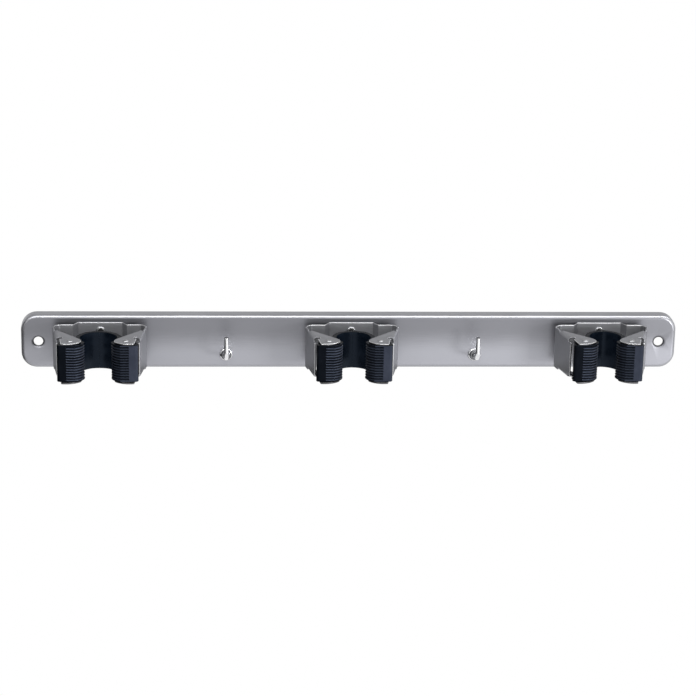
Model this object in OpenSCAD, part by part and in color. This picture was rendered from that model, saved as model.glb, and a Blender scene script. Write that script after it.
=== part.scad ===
// Wall rack for mops and brooms: a pressed steel back plate that carries three sprung
// handle clips and two wire hooks. The wall is the plane y = 0, the room lies towards -Y
// and +Z is up. The origin is on the wall, midway between the two screw holes.

/* [Back plate] */
// Overall length of the back plate
plate_l = 500; // [480:1:640]
// Overall height of the back plate
plate_h = 42; // [40:0.5:60]
// Depth of the back plate, from the wall to its front face
plate_depth = 10; // [9:0.5:16]
// Thickness of the back plate's sheet
plate_t = 1.2; // [0.8:0.1:1.6]
// Corner radius of the back plate, seen from the front
plate_corner_r = 12; // [8:0.5:16]
// Outer radius of the bend between the front face and the rim
plate_edge_r = 3; // [2:0.25:5]

/* [Wall screw holes] */
// Distance from each end of the plate to its screw hole
screw_inset = 13; // [11:0.5:20]
// Radius of each screw hole
screw_hole_r = 3.6; // [2.5:0.1:4.5]
// Radius of the dimple round each screw hole, at the front face
dimple_r = 5.6; // [5:0.1:7]
// Depth of the dimple round each screw hole
dimple_depth = 1.4; // [0.8:0.1:2.5]

/* [Clip brackets] */
// Distance from each end of the plate to the middle of its clip
clip_margin = 60; // [60:1:80]
// Height of the bracket strip
strip_h = 31.5; // [28:0.5:36]
// Thickness of the bracket strip
strip_t = 1.2; // [0.8:0.1:1.6]
// Width of the centre panel that lies on the back plate
panel_w = 33.2; // [28:0.2:38]
// How far the side panels stand in front of the centre panel
joggle = 5.6; // [4:0.2:8]
// Run of each slanted step, along the plate
joggle_run = 3.6; // [2:0.2:5]
// Overall width of the clip across its two bends
clip_w = 70.4; // [66:0.2:76]
// Inner radius of the bend between side panel and arm
arm_bend_r = 5; // [3:0.25:6]
// Straight length of each arm
arm_len = 29.4; // [26:0.2:34]
// Angle at which the arms lean towards each other
arm_lean = 11; // [8:0.5:13]
// Extra lean to which the left, centre and right clip's arms are set
arm_set = [-2.5, 0, 3]; // [-4:0.5:4]

/* [Ears] */
// Inner radius of the bend between arm and ear
ear_bend_r = 1.5; // [1:0.1:2.5]
// Where the ear's bend starts, along the arm
ear_start = 7.5; // [5:0.5:12]
// Length of the ear's bend, along the arm
ear_bend_len = 17.2; // [14:0.2:18]
// Radius of the ear's tip round its pin
ear_tip_r = 8.5; // [7:0.1:9.5]
// How far the ear's curved front edge lies in front of the pin
ear_front = 7.9; // [7:0.1:9]
// Radius of the ear's curved front edge
ear_front_r = 14; // [12:0.5:30]
// How far the middle of that curve lies outboard of the pin
ear_front_out = 3; // [1:0.5:5]
// How far the ear's front outer corner lies outboard of the pin
ear_corner = 5.9; // [4.5:0.1:7]
// Radius of the relief notch between ear and arm
ear_notch_r = 2.2; // [1.5:0.1:2.6]

/* [Hinge pins] */
// Distance of the pin from the arm's inner face
pin_in = 8.4; // [8:0.1:10]
// Distance of the pin in front of the arm's front edge
pin_ahead = 4.6; // [3.5:0.1:7]
// Radius of the hinge pin
pin_r = 2; // [1.5:0.1:2.2]
// Radius of the pin's heads
pin_head_r = 2.7; // [2.5:0.1:3.5]
// Height of the pin's heads
pin_head_h = 1.1; // [0.6:0.1:1.6]
// Radial clearance of the pin in the ears
pin_ear_gap = 0.04; // [0.02:0.01:0.1]
// Radial running clearance of the claw on its pin
pin_claw_gap = 0.08; // [0.05:0.01:0.1]

/* [Claws] */
// Radius of the seat that the claws make round a handle
seat_r = 13; // [11:0.25:13.5]
// Distance of the seat's centre behind the pins
seat_back = 12.5; // [11:0.25:14]
// Thickness of the tail that goes round the seat
tail_t = 3.2; // [2.5:0.1:4]
// Gap between the two tails of a pair at rest
tail_gap = 0.4; // [0.3:0.05:2]
// Radius of the ribbed nose
nose_r = 9.1; // [8:0.1:9.8]
// Distance of the nose's centre inboard of the pin
nose_in = 1.6; // [0.5:0.1:2.5]
// Distance of the nose's centre behind the pin
nose_back = 2.2; // [1:0.1:3]
// Radius of the hub round the pin
hub_r = 8; // [7:0.1:8.2]
// How far the claw's front outer corner lies outboard of the pin
claw_corner = 9.2; // [8.5:0.1:10]
// Rounding of the claw's front outer corner
claw_corner_r = 2.4; // [2:0.1:3]
// Clearance between the claw and each ear
claw_gap = 0.35; // [0.3:0.05:0.8]
// Pitch of the ribs on the nose
rib_pitch = 2.05; // [1.8:0.05:3]
// Width of the grooves between the ribs
groove_w = 0.9; // [0.6:0.05:1.2]
// Depth of the grooves between the ribs
groove_depth = 0.7; // [0.4:0.05:1]
// How far the ribs reach outboard of the pin
rib_reach = 2.2; // [1:0.1:4]
// Angle through which each claw opens
claw_open = 35; // [20:1:35]

/* [Torsion springs] */
// Radius of the spring's wire
spring_wire_r = 0.45; // [0.3:0.05:0.5]
// Mean radius of the spring's curls
spring_r = 3.3; // [3.2:0.1:3.6]
// Number of curls
spring_turns = 4.25; // [3.25:1:5.25]
// Rise of the spring in one curl
spring_pitch = 1.5; // [1.4:0.1:1.8]
// Angle between the fixed leg and the square to the arm
spring_leg_angle = 44; // [38:1:50]
// Length of the leg that drives the claw
spring_drive_len = 5; // [3:0.5:6]
// Clearance round the spring in the claw's pocket
spring_gap = 0.5; // [0.4:0.05:0.6]
// Gap between the fixed leg's end and the arm
spring_leg_gap = 0.3; // [0.2:0.05:0.4]

/* [Bracket rivets] */
// Height of each rivet above or below the middle of the plate
rivet_z = 9; // [7.5:0.25:11]
// Radius of the rivet's shank
rivet_r = 2.5; // [2.2:0.1:2.8]
// Radius of the rivet's flange
rivet_head_r = 3.6; // [3.4:0.1:4.5]
// Height of the rivet's flange
rivet_head_h = 1.3; // [0.8:0.1:1.8]
// Radius of the hollow left in the rivet's core
rivet_core_r = 1.9; // [1.2:0.1:2]
// Radius of the bulb behind the plate
rivet_bulb_r = 3.4; // [3:0.1:4]
// Length of the bulb behind the plate
rivet_bulb_h = 3.2; // [2:0.1:4]
// Radial clearance of the rivet in its holes
rivet_gap = 0.05; // [0.03:0.01:0.2]

/* [Hooks] */
// Height of the hook's root above the middle of the plate
hook_z = -10; // [-11:0.5:-8]
// Radius of the hook's wire
hook_wire_r = 1.75; // [1.5:0.05:2.2]
// Distance of the upright in front of the plate
hook_reach = 22; // [18:0.5:30]
// Height of the upright's tip above the hook's root
hook_rise = 21; // [16:0.5:30]
// Angle at which the shank climbs
hook_climb = 12; // [0:1:20]
// Bend radius between shank and upright, at the wire's centre
hook_bend_r = 6; // [4:0.25:8]
// Radius of the collar's wide step
collar_r = 5; // [4.5:0.1:6]
// Thickness of the collar's wide step
collar_t = 1.4; // [0.8:0.1:2]
// Radius of the collar's narrow step
collar_step_r = 3.7; // [3.2:0.1:4.2]
// Thickness of the collar's narrow step
collar_step_t = 1.6; // [0.8:0.1:2]
// Width across the flats of the hook's nut
nut_flats = 7; // [6.5:0.1:8]
// Thickness of the hook's nut
nut_t = 2.8; // [2:0.1:3.2]
// How far the hook's stud stands out behind its nut
stud_out = 1; // [0.5:0.1:2]
// Radial clearance of the stud in plate, collar and nut
stud_gap = 0.05; // [0.03:0.01:0.1]

/* [Hidden] */
$fn = 64;
CLIPS = ["left", "centre", "right"];
SIDES = ["left", "right"];
CLAW_PARTS = ["claw", "pin", "spring"];
CLIP_PARTS = ["bracket", "rivets"];
HOOK_PARTS = ["hook", "hook_collar", "hook_nut"];

STEEL = "lightsteelblue";
BRIGHT = "gainsboro";
BLACK = [0.1, 0.11, 0.13];
SIGNS = [-1, 1];
SPRING_SIDES = 6;
RINGS_A_CURL = 8;
HOOK_SIDES = 16;
BEND_STEPS = 8;
// Overshoot of cuts past the faces that they open
cut_over = 1;
// How far outlines that meet run into each other
weld = 0.05;
// How far each tail is drawn past the clip's middle before it is cut there
tail_over = 2;

// Places along the plate
screw_x = plate_l / 2 - screw_inset;
clip_spacing = plate_l / 2 - clip_margin;
hook_x = clip_spacing / 2;

// The bracket's bends, in a clip's plan where +Y points away from the plate
strip_half = strip_h / 2;
side_y = joggle + strip_t;
step_x = panel_w / 2 + joggle_run;
arm_outer_r = arm_bend_r + strip_t;
bend = [clip_w / 2 - arm_outer_r, side_y + arm_bend_r];
ear_outer_r = ear_bend_r + strip_t;
ear_root_x = arm_outer_r - ear_outer_r;
arm_mid_x = arm_bend_r + strip_t / 2;
ear_end = ear_start + ear_bend_len;

// Points beside the right arm: across it from the bend's centre, then along it
function turned(v, angle) = [v.x * cos(angle) - v.y * sin(angle), v.x * sin(angle) + v.y * cos(angle)];
function arm_point(across, along, lean = arm_lean) = bend + turned([across, along], lean);
pin = arm_point(arm_bend_r - pin_in, arm_len + pin_ahead);

// The claw's own places
seat_centre = [0, pin.y - seat_back];
nose = pin - [nose_in, nose_back];
claw_front_y = nose.y + nose_r - 2 * weld;
claw_h = strip_h - 2 * (strip_t + claw_gap);
groove_count = floor((claw_h - groove_w) / rib_pitch);

// The spring's own sizes
spring_h = spring_turns * spring_pitch;
pocket_r = spring_r + spring_wire_r + spring_gap;
pocket_h = spring_h + 2 * (spring_wire_r + spring_gap);
spring_leg_len = (pin_in - spring_leg_gap - (spring_wire_r + spring_r) * sin(spring_leg_angle))
    / cos(spring_leg_angle);
spring_start = 90 - spring_leg_angle;
spring_end = spring_start + 360 * spring_turns;

// Where the line from a point touches a circle, on the circle's left as seen from the point
function touch_point(from, centre, r) =
    let (v = centre - from, d = norm(v), run = sqrt(d * d - r * r))
    from + turned(v / d, asin(r / d)) * run;

// A point on the spring's helix, and the whole centre line from the fixed leg to the driving leg
function on_helix(angle, z) = [spring_r * cos(angle), spring_r * sin(angle), z];
function along_helix(angle) = [-sin(angle), cos(angle), 0];
function spring_path() =
    let (first = on_helix(spring_start, -spring_h / 2), last = on_helix(spring_end, spring_h / 2))
    concat(
        [first - spring_leg_len * along_helix(spring_start)],
        [for (i = [0:spring_turns * RINGS_A_CURL])
            let (share = i / (spring_turns * RINGS_A_CURL))
            on_helix(spring_start + share * 360 * spring_turns, (share - 0.5) * spring_h)],
        [last + spring_drive_len * along_helix(spring_end)]
    );

// Least distance between the surfaces of two stretches of a tube that are half a curl or more apart
function self_gap(path, r) =
    min([for (i = [0:len(path) - 1], j = [i + RINGS_A_CURL / 2:1:len(path) - 1]) norm(path[i] - path[j])])
    - 2 * r;
echo(least_spring_gap = self_gap(spring_path(), spring_wire_r));

// Frames: a place on the plate's front, a clip, and one arm of a clip with what it carries

module at_front(x, z) {
    translate([x, -plate_depth, z]) mirror([0, 1, 0]) children();
}

module at_clip(clip) {
    at_front((clip - 1) * clip_spacing, 0) children();
}

module at_side(side) {
    if (side < 0) mirror([1, 0, 0]) children();
    else children();
}

module at_jaw(clip, side) {
    at_side(side) translate(bend) rotate(arm_set[clip]) translate(-bend) children();
}

module on_arm() {
    translate(bend) rotate(arm_lean) children();
}

// Round solids that point forward from the plate
module forward(length, r) {
    rotate([-90, 0, 0]) cylinder(h = length, r = r);
}

// Back plate

module rounded_rectangle(l, h, r) {
    square([l - 2 * r, h], center = true);
    square([l, h - 2 * r], center = true);
    for (x = SIGNS, y = SIGNS) translate([x * (l / 2 - r), y * (h / 2 - r)]) circle(r);
}

// Section of the rim: across from the corner's centre, then forward from the wall
module rim_section() {
    bend_x = plate_corner_r - plate_edge_r;
    bend_y = plate_depth - plate_edge_r;
    translate([plate_corner_r - plate_t, 0]) square([plate_t, bend_y]);
    translate([bend_x, bend_y]) intersection() {
        difference() {
            circle(plate_edge_r);
            circle(plate_edge_r - plate_t);
        }
        square(plate_edge_r);
    }
}

module plate_rim() {
    run_x = plate_l - 2 * plate_corner_r;
    run_y = plate_h - 2 * plate_corner_r;
    for (side = [0, 1]) {
        mirror([0, side, 0]) translate([-run_x / 2, run_y / 2, 0])
            rotate([90, 0, 90]) linear_extrude(run_x) rim_section();
        mirror([side, 0, 0]) translate([run_x / 2, run_y / 2, 0])
            rotate([90, 0, 0]) linear_extrude(run_y) rim_section();
        for (up = [0, 1]) mirror([side, 0, 0]) mirror([0, up, 0])
            translate([run_x / 2, run_y / 2, 0]) rotate_extrude(angle = 90) rim_section();
    }
}

module plate_face() {
    translate([0, 0, plate_depth - plate_t]) linear_extrude(plate_t)
        rounded_rectangle(
            plate_l - 2 * plate_edge_r, plate_h - 2 * plate_edge_r, plate_corner_r - plate_edge_r
        );
}

module dimple_wall() {
    translate([0, 0, plate_depth - dimple_depth - plate_t])
        cylinder(h = dimple_depth + plate_t, r1 = screw_hole_r + plate_t, r2 = dimple_r + plate_t);
}

module dimple_cut() {
    translate([0, 0, plate_depth - dimple_depth])
        cylinder(h = dimple_depth, r1 = screw_hole_r, r2 = dimple_r);
    cylinder(h = plate_depth + cut_over, r = screw_hole_r);
}

module back_plate() {
    color(STEEL) rotate([90, 0, 0]) difference() {
        union() {
            plate_face();
            plate_rim();
            for (side = SIGNS) translate([side * screw_x, 0, 0]) dimple_wall();
        }
        for (side = SIGNS) translate([side * screw_x, 0, 0]) dimple_cut();
        for (clip = [-1, 0, 1], z = SIGNS) translate([clip * clip_spacing, z * rivet_z, 0])
            cylinder(h = plate_depth + cut_over, r = rivet_r + rivet_gap);
        for (side = SIGNS) translate([side * hook_x, hook_z, 0])
            cylinder(h = plate_depth + cut_over, r = hook_wire_r + stud_gap);
    }
}

// Clip bracket

// Half of the strip in plan: half the centre panel, the slanted step and the start of the side panel
module half_panels() {
    side_x = (step_x + bend.x) / 2;
    polygon([
        [-cut_over, 0], [panel_w / 2, 0], [step_x, joggle], [side_x, joggle],
        [side_x, side_y], [step_x, side_y], [panel_w / 2, strip_t], [-cut_over, strip_t]
    ]);
}

// Everything inside one surface of the side panel, the bend and the arm: the outer one or the inner one
module inside_bend(r, length, inner, lean) {
    arm_x = r - weld / 2;
    translate(bend) circle(r);
    polygon([
        [inner, bend.y - r], [bend.x, bend.y - r], bend, arm_point(arm_x, 0, lean),
        arm_point(arm_x, length, lean), arm_point(-r, length, lean), [inner, bend.y]
    ]);
}

module strip_plan(clip) {
    lean = arm_lean + arm_set[clip];
    for (side = [0, 1]) mirror([side, 0]) {
        half_panels();
        difference() {
            inside_bend(arm_outer_r, arm_len, step_x, lean);
            inside_bend(arm_bend_r, arm_len + cut_over, step_x - cut_over, lean);
            polygon([
                [0, side_y], [step_x, side_y], bend, arm_point(-arm_bend_r + cut_over, clip_w, lean),
                [0, clip_w]
            ]);
        }
    }
}

// What the front of an arm loses above its ear's bend
module arm_trim() {
    drop = ear_outer_r + strip_t / 4;
    on_arm() translate([arm_mid_x - strip_t, ear_end - strip_t / 2, strip_half - drop])
        cube([2 * strip_t, arm_len, drop + cut_over]);
}

// What rounds the outer edge between arm and ear. The round ends short of a true tangent.
module ear_rounding() {
    inset = ear_outer_r + strip_t / 2;
    r = norm([inset, strip_t / 2]);
    on_arm() translate([arm_outer_r - inset, ear_end, strip_half - inset]) rotate([90, 0, 0])
        linear_extrude(ear_bend_len + strip_t) difference() {
            square(2 * r);
            circle(r);
        }
}

// The web that fills the inside of the bend between arm and ear
module ear_web() {
    leg = ear_bend_r + strip_t + 2 * weld;
    gap = ear_notch_r - strip_t / 2;
    on_arm() translate([arm_mid_x, ear_end - gap, strip_half - strip_t / 2]) rotate([90, 0, 0])
        linear_extrude(ear_bend_len - 2 * gap) polygon([[0, 0], [-leg, 0], [0, -leg]]);
}

module ear_plan() {
    root = arm_point(ear_root_x - strip_t / 4, ear_start);
    notch_along = ear_end + ear_notch_r / 2;
    notch = arm_point(ear_root_x, notch_along);
    edge = pin + [ear_corner, ear_front] - notch;
    front_centre = pin + [ear_front_out, ear_front - ear_front_r];
    difference() {
        union() {
            translate(pin) circle(ear_tip_r);
            polygon([
                arm_point(arm_mid_x, ear_start), root, touch_point(root, pin, ear_tip_r - weld), pin,
                pin + [0, ear_tip_r], pin + [ear_tip_r, ear_tip_r], arm_point(arm_mid_x, notch_along)
            ]);
        }
        difference() {
            translate(pin - [2 * ear_tip_r, 0]) square(4 * ear_tip_r);
            translate(front_centre) circle(ear_front_r);
        }
        polygon([notch, notch + 2 * edge, arm_point(4 * arm_outer_r, notch_along)]);
        translate(notch) circle(ear_notch_r);
        translate(pin) circle(pin_r + pin_ear_gap);
    }
}

module ear() {
    translate([0, 0, strip_half - strip_t]) linear_extrude(strip_t) ear_plan();
    ear_web();
}

module clip_bracket(clip) {
    color(STEEL) at_clip(clip) difference() {
        union() {
            linear_extrude(strip_h, center = true) strip_plan(clip);
            for (side = SIGNS, down = [0, 1])
                at_jaw(clip, side) mirror([0, 0, down]) ear();
        }
        for (side = SIGNS, down = [0, 1]) at_jaw(clip, side) mirror([0, 0, down]) {
            arm_trim();
            ear_rounding();
        }
        for (z = SIGNS) translate([0, -cut_over, z * rivet_z])
            forward(strip_t + 2 * cut_over, rivet_r + rivet_gap);
    }
}

// Blind rivet, drawn on the plate's front face and pointing forward

module rivet_section() {
    grip = strip_t + plate_t;
    face = strip_t + rivet_head_h;
    floor_y = strip_t - grip;
    crown_r = (rivet_core_r + rivet_head_r) / 2;
    mouth_y = face - rivet_head_h / 4;
    rim_y = strip_t + rivet_head_h / 3;
    polygon([
        [0, floor_y], [rivet_core_r, floor_y], [rivet_core_r, mouth_y],
        [crown_r, face], [rivet_head_r, rim_y],
        [rivet_head_r, strip_t], [rivet_r, strip_t], [rivet_r, floor_y], [rivet_bulb_r, floor_y],
        [rivet_bulb_r, floor_y - rivet_bulb_h / 2], [rivet_core_r, floor_y - rivet_bulb_h],
        [0, floor_y - rivet_bulb_h]
    ]);
}

module clip_rivets(clip) {
    color(BRIGHT) at_clip(clip) for (z = SIGNS) translate([0, 0, z * rivet_z])
        rotate([-90, 0, 0]) rotate_extrude() rivet_section();
}

// Claw

module claw_plan() {
    tail_r = seat_r + tail_t;
    hub_inner_r = hub_r - 2 * weld;
    difference() {
        union() {
            translate(nose) circle(nose_r);
            translate(pin) circle(hub_r);
            polygon([
                nose, [nose.x, claw_front_y + cut_over], [pin.x + hub_r / 2, claw_front_y + cut_over], pin
            ]);
            polygon([
                nose, seat_centre + [seat_r - tail_t, 0], seat_centre + [tail_r - tail_t / 4, -tail_t / 2],
                pin + hub_inner_r * [cos(-45), sin(-45)], pin
            ]);
            intersection() {
                translate(seat_centre) circle(tail_r);
                translate([-tail_over, seat_centre.y - 2 * tail_r])
                    square([2 * tail_r, 2 * tail_r + tail_t]);
            }
        }
        translate(seat_centre) circle(seat_r);
        translate([-clip_w, claw_front_y]) square(2 * clip_w);
    }
}

// The block at the claw's front outer corner
module corner_plan() {
    corner = [pin.x + claw_corner - claw_corner_r, claw_front_y - claw_corner_r];
    polygon([
        pin + hub_r / 4 * [1, 1], [pin.x + hub_r / 4, claw_front_y],
        for (turn = [90:-15:0]) corner + claw_corner_r * [cos(turn), sin(turn)],
        pin + (hub_r - 4 * weld) * [cos(-8), sin(-8)]
    ]);
}

// The ring of material that one groove takes from the nose
module groove_plan() {
    reach_x = pin.x + rib_reach;
    difference() {
        translate([0, nose.y - nose_in]) square([reach_x, 2 * nose_r]);
        translate(nose) circle(nose_r - groove_depth);
        translate([nose.x, 0]) square([reach_x, claw_front_y - groove_depth]);
    }
}

module grooves() {
    for (i = [0:groove_count - 1])
        translate([0, 0, (i - (groove_count - 1) / 2) * rib_pitch])
            linear_extrude(groove_w, center = true) groove_plan();
}

// Room for the spring: its pocket, the way out for the fixed leg over the whole travel,
// and the channel for the driving leg
module spring_room() {
    leg_room = pocket_r - 2 * weld;
    cylinder(h = pocket_h, r = pocket_r, center = true);
    for (turn = [0, claw_open]) rotate(-spring_leg_angle - turn)
        translate([0, -leg_room, -pocket_h / 2]) cube([2 * hub_r, 2 * leg_room, pocket_h]);
    translate(on_helix(spring_end, spring_h / 2)) rotate([0, 90, spring_end + 90])
        cylinder(h = spring_drive_len + spring_gap, r = spring_wire_r + spring_gap);
}

module claw(clip, side) {
    color(BLACK) at_clip(clip) difference() {
        at_jaw(clip, side) difference() {
            union() {
                linear_extrude(claw_h, center = true) claw_plan();
                linear_extrude(claw_h, center = true) corner_plan();
            }
            grooves();
            translate(pin) {
                cylinder(h = claw_h + cut_over, r = pin_r + pin_claw_gap, center = true);
                rotate(arm_lean) spring_room();
            }
        }
        at_side(side) translate([tail_gap / 2 - clip_w, 0, -strip_half]) cube([clip_w, clip_w, strip_h]);
    }
}

// Hinge pin with a domed head at each end

// The head's outline is a quarter of an ellipse, from its rim to its crown
module pin_section() {
    steps = [0, 30, 60, 90];
    polygon([
        for (a = steps) [pin_head_r * sin(a), -strip_half - pin_head_h * cos(a)],
        [pin_r, -strip_half], [pin_r, strip_half],
        for (a = steps) [pin_head_r * cos(a), strip_half + pin_head_h * sin(a)]
    ]);
}

module hinge_pin(clip, side) {
    color(BRIGHT) at_clip(clip) at_jaw(clip, side) translate(pin) rotate_extrude() pin_section();
}

// A round tube along a path of points, each with its own radius. The path mostly lies square to
// the flat direction.

function ring(path, i, r, sides, flat) =
    let (
        last = len(path) - 1,
        step = path[min(i + 1, last)] - path[max(i - 1, 0)],
        ahead = step / norm(step),
        across = cross(flat, ahead),
        side = across / norm(across),
        up = cross(ahead, side)
    )
    [for (k = [0:sides - 1])
        let (angle = 360 * k / sides)
        path[i] + r * (cos(angle) * side + sin(angle) * up)];

module tube(path, radii, sides, flat) {
    last = len(path) - 1;
    end = last * sides;
    walls = [
        for (i = [0:last - 1], k = [0:sides - 1])
            let (
                a = i * sides + k,
                b = i * sides + (k + 1) % sides
            )
            each [[a, a + sides, b + sides], [a, b + sides, b]]
    ];
    caps = [
        for (k = [1:sides - 2])
            each [[0, k, k + 1], [end, end + k + 1, end + k]]
    ];
    polyhedron([for (i = [0:last]) each ring(path, i, radii[i], sides, flat)], concat(walls, caps));
}

module torsion_spring(clip, side) {
    path = spring_path();
    color(BRIGHT) at_clip(clip) at_jaw(clip, side) translate(pin) rotate(arm_lean)
        tube(path, [for (point = path) spring_wire_r], SPRING_SIDES, [0, 0, 1]);
}

// Hook: stud, climbing shank, bend and upright with a round tip, all of one wire

module hook(side) {
    root_y = collar_t + collar_step_t;
    back_y = -plate_t - nut_t - stud_out;
    shank_run = hook_reach - root_y - hook_bend_r * (1 - sin(hook_climb));
    upright_z = shank_run * tan(hook_climb) + hook_bend_r * cos(hook_climb);
    tip_z = hook_rise - hook_wire_r;
    bend_steps = [for (i = [0:BEND_STEPS]) (hook_climb - 90) * (1 - i / BEND_STEPS)];
    tip_steps = [30, 55, 75];
    path = concat(
        [[0, back_y, 0], [0, root_y, 0]],
        [for (a = bend_steps)
            [0, hook_reach - hook_bend_r * (1 - cos(a)), upright_z + hook_bend_r * sin(a)]],
        [[0, hook_reach, tip_z]],
        [for (a = tip_steps) [0, hook_reach, tip_z + hook_wire_r * sin(a)]]
    );
    radii = concat(
        [for (i = [0:len(bend_steps) + 2]) hook_wire_r],
        [for (a = tip_steps) hook_wire_r * cos(a)]
    );
    color(BRIGHT) at_front(side * hook_x, hook_z) tube(path, radii, HOOK_SIDES, [1, 0, 0]);
}

module collar_section() {
    bore = hook_wire_r + stud_gap;
    step_y = collar_t + collar_step_t;
    wide_edge = collar_t / 2;
    step_edge = collar_step_t / 2.5;
    polygon([
        [bore, 0], [collar_r, 0], [collar_r, wide_edge], [collar_r - wide_edge, collar_t],
        [collar_step_r, collar_t], [collar_step_r, step_y - step_edge],
        [collar_step_r - step_edge, step_y], [bore, step_y]
    ]);
}

module hook_collar(side) {
    color(BRIGHT) at_front(side * hook_x, hook_z)
        rotate([-90, 0, 0]) rotate_extrude() collar_section();
}

module hook_nut(side) {
    color(BRIGHT) at_front(side * hook_x, hook_z) translate([0, -plate_t - nut_t, 0])
        rotate([-90, 0, 0]) difference() {
            cylinder(h = nut_t, r = nut_flats / 2 / cos(30), $fn = 6);
            translate([0, 0, -cut_over]) cylinder(h = nut_t + 2 * cut_over, r = hook_wire_r + stud_gap);
        }
}

back_plate();
clip_bracket(0);  // left_clip_bracket
clip_rivets(0);  // left_clip_rivets
claw(0, -1);  // left_clip_left_claw
hinge_pin(0, -1);  // left_clip_left_pin
torsion_spring(0, -1);  // left_clip_left_spring
claw(0, 1);  // left_clip_right_claw
hinge_pin(0, 1);  // left_clip_right_pin
torsion_spring(0, 1);  // left_clip_right_spring
clip_bracket(1);  // centre_clip_bracket
clip_rivets(1);  // centre_clip_rivets
claw(1, -1);  // centre_clip_left_claw
hinge_pin(1, -1);  // centre_clip_left_pin
torsion_spring(1, -1);  // centre_clip_left_spring
claw(1, 1);  // centre_clip_right_claw
hinge_pin(1, 1);  // centre_clip_right_pin
torsion_spring(1, 1);  // centre_clip_right_spring
clip_bracket(2);  // right_clip_bracket
clip_rivets(2);  // right_clip_rivets
claw(2, -1);  // right_clip_left_claw
hinge_pin(2, -1);  // right_clip_left_pin
torsion_spring(2, -1);  // right_clip_left_spring
claw(2, 1);  // right_clip_right_claw
hinge_pin(2, 1);  // right_clip_right_pin
torsion_spring(2, 1);  // right_clip_right_spring
hook(-1);  // left_hook
hook_collar(-1);  // left_hook_collar
hook_nut(-1);  // left_hook_nut
hook(1);  // right_hook
hook_collar(1);  // right_hook_collar
hook_nut(1);  // right_hook_nut
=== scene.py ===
"""Looks of a wall rack for mops and brooms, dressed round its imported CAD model.

The row frame is the CAD model's: the wall is y = 0, the room lies towards -Y and +Z is up. All lengths
are in metres.
"""

import logging
import math
from collections.abc import Iterator, Mapping, Sequence
from contextlib import contextmanager
from dataclasses import dataclass
from enum import Enum
from functools import cached_property

import bpy
from mathutils import Matrix, Vector


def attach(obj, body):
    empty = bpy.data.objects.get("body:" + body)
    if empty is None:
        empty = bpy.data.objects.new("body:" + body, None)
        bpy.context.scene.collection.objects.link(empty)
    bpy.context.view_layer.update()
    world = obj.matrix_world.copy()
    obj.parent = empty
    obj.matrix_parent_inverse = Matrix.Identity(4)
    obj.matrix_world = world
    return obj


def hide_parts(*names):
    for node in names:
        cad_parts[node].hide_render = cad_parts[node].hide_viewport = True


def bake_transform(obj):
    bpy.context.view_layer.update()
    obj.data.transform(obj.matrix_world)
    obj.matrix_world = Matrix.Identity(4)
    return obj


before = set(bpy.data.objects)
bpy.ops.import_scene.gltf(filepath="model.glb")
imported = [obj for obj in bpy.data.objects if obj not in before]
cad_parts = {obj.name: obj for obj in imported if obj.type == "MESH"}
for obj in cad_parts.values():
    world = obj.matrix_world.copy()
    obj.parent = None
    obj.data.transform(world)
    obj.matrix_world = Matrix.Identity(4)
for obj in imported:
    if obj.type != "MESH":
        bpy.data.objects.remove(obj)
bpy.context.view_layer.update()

MM = 0.001
HOLE_X = 237 * MM
ROOT_BODY = "rack"
CAD_MERGE = 2e-6
FLAT_ANGLE = math.radians(0.3)
SHARP_ANGLE = math.radians(38)
SMOOTH_ANGLE = math.radians(40)
TURNED_ANGLE = math.radians(35)
WOUND_ANGLE = math.radians(45)
UPRIGHT = (math.pi / 2, 0.0, 0.0)
UNIT = (0.0, 1.0)
WHITE = (1.0, 1.0, 1.0)
LOG = logging.getLogger("rack")

Pair = tuple[float, float]
Triple = tuple[float, float, float]
Piece = bpy.types.Object
Material = bpy.types.Material
Socket = bpy.types.NodeSocket
Tree = bpy.types.NodeTree
Value = float | Triple | Socket


class Side(Enum):
    """The two sides of the rack or of a clip, as seen from the room."""

    LEFT = -1
    RIGHT = 1

    @property
    def word(self) -> str:
        """The side's word in the names of nodes and pieces."""
        return self.name.lower()


class Grain(Enum):
    """How a steel surface was worked: the stretch of its fine lines along X, Y and Z, per metre."""

    ALONG_RACK = (45.0, 2200.0, 2200.0)
    ALONG_STRIP = (160.0, 160.0, 2600.0)
    DRAWN = (1500.0, 1500.0, 500.0)


class Ray(Enum):
    """The Light Path outputs for rays that show the white surroundings."""

    CAMERA = "Is Camera Ray"
    GLOSSY = "Is Glossy Ray"
    TRANSMISSION = "Is Transmission Ray"


# Shared helpers for modelling by operators


def take(piece: Piece) -> None:
    """Makes one object the whole selection and the active one.

    Args:
        piece: The object that the next operators act on.
    """
    bpy.ops.object.select_all(action="DESELECT")
    piece.select_set(True)
    bpy.context.view_layer.objects.active = piece


@contextmanager
def editing(piece: Piece) -> Iterator[None]:
    """Keeps one object in edit mode with everything in it selected.

    Args:
        piece: The object to edit.

    Returns:
        A context that leaves edit mode at its end.
    """
    take(piece)
    bpy.ops.object.mode_set(mode="EDIT")
    bpy.ops.mesh.select_mode(type="VERT")
    bpy.ops.mesh.select_all(action="SELECT")
    try:
        yield
    finally:
        bpy.ops.object.mode_set(mode="OBJECT")


def apply_modifiers(piece: Piece) -> None:
    """Applies all of an object's modifiers in order.

    Args:
        piece: The object to finish.
    """
    take(piece)
    for name in [modifier.name for modifier in piece.modifiers]:
        bpy.ops.object.modifier_apply(modifier=name)


def smooth(piece: Piece, angle: float) -> None:
    """Shades an object smooth across edges flatter than an angle."""
    take(piece)
    bpy.ops.object.shade_smooth_by_angle(angle=angle)


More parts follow.
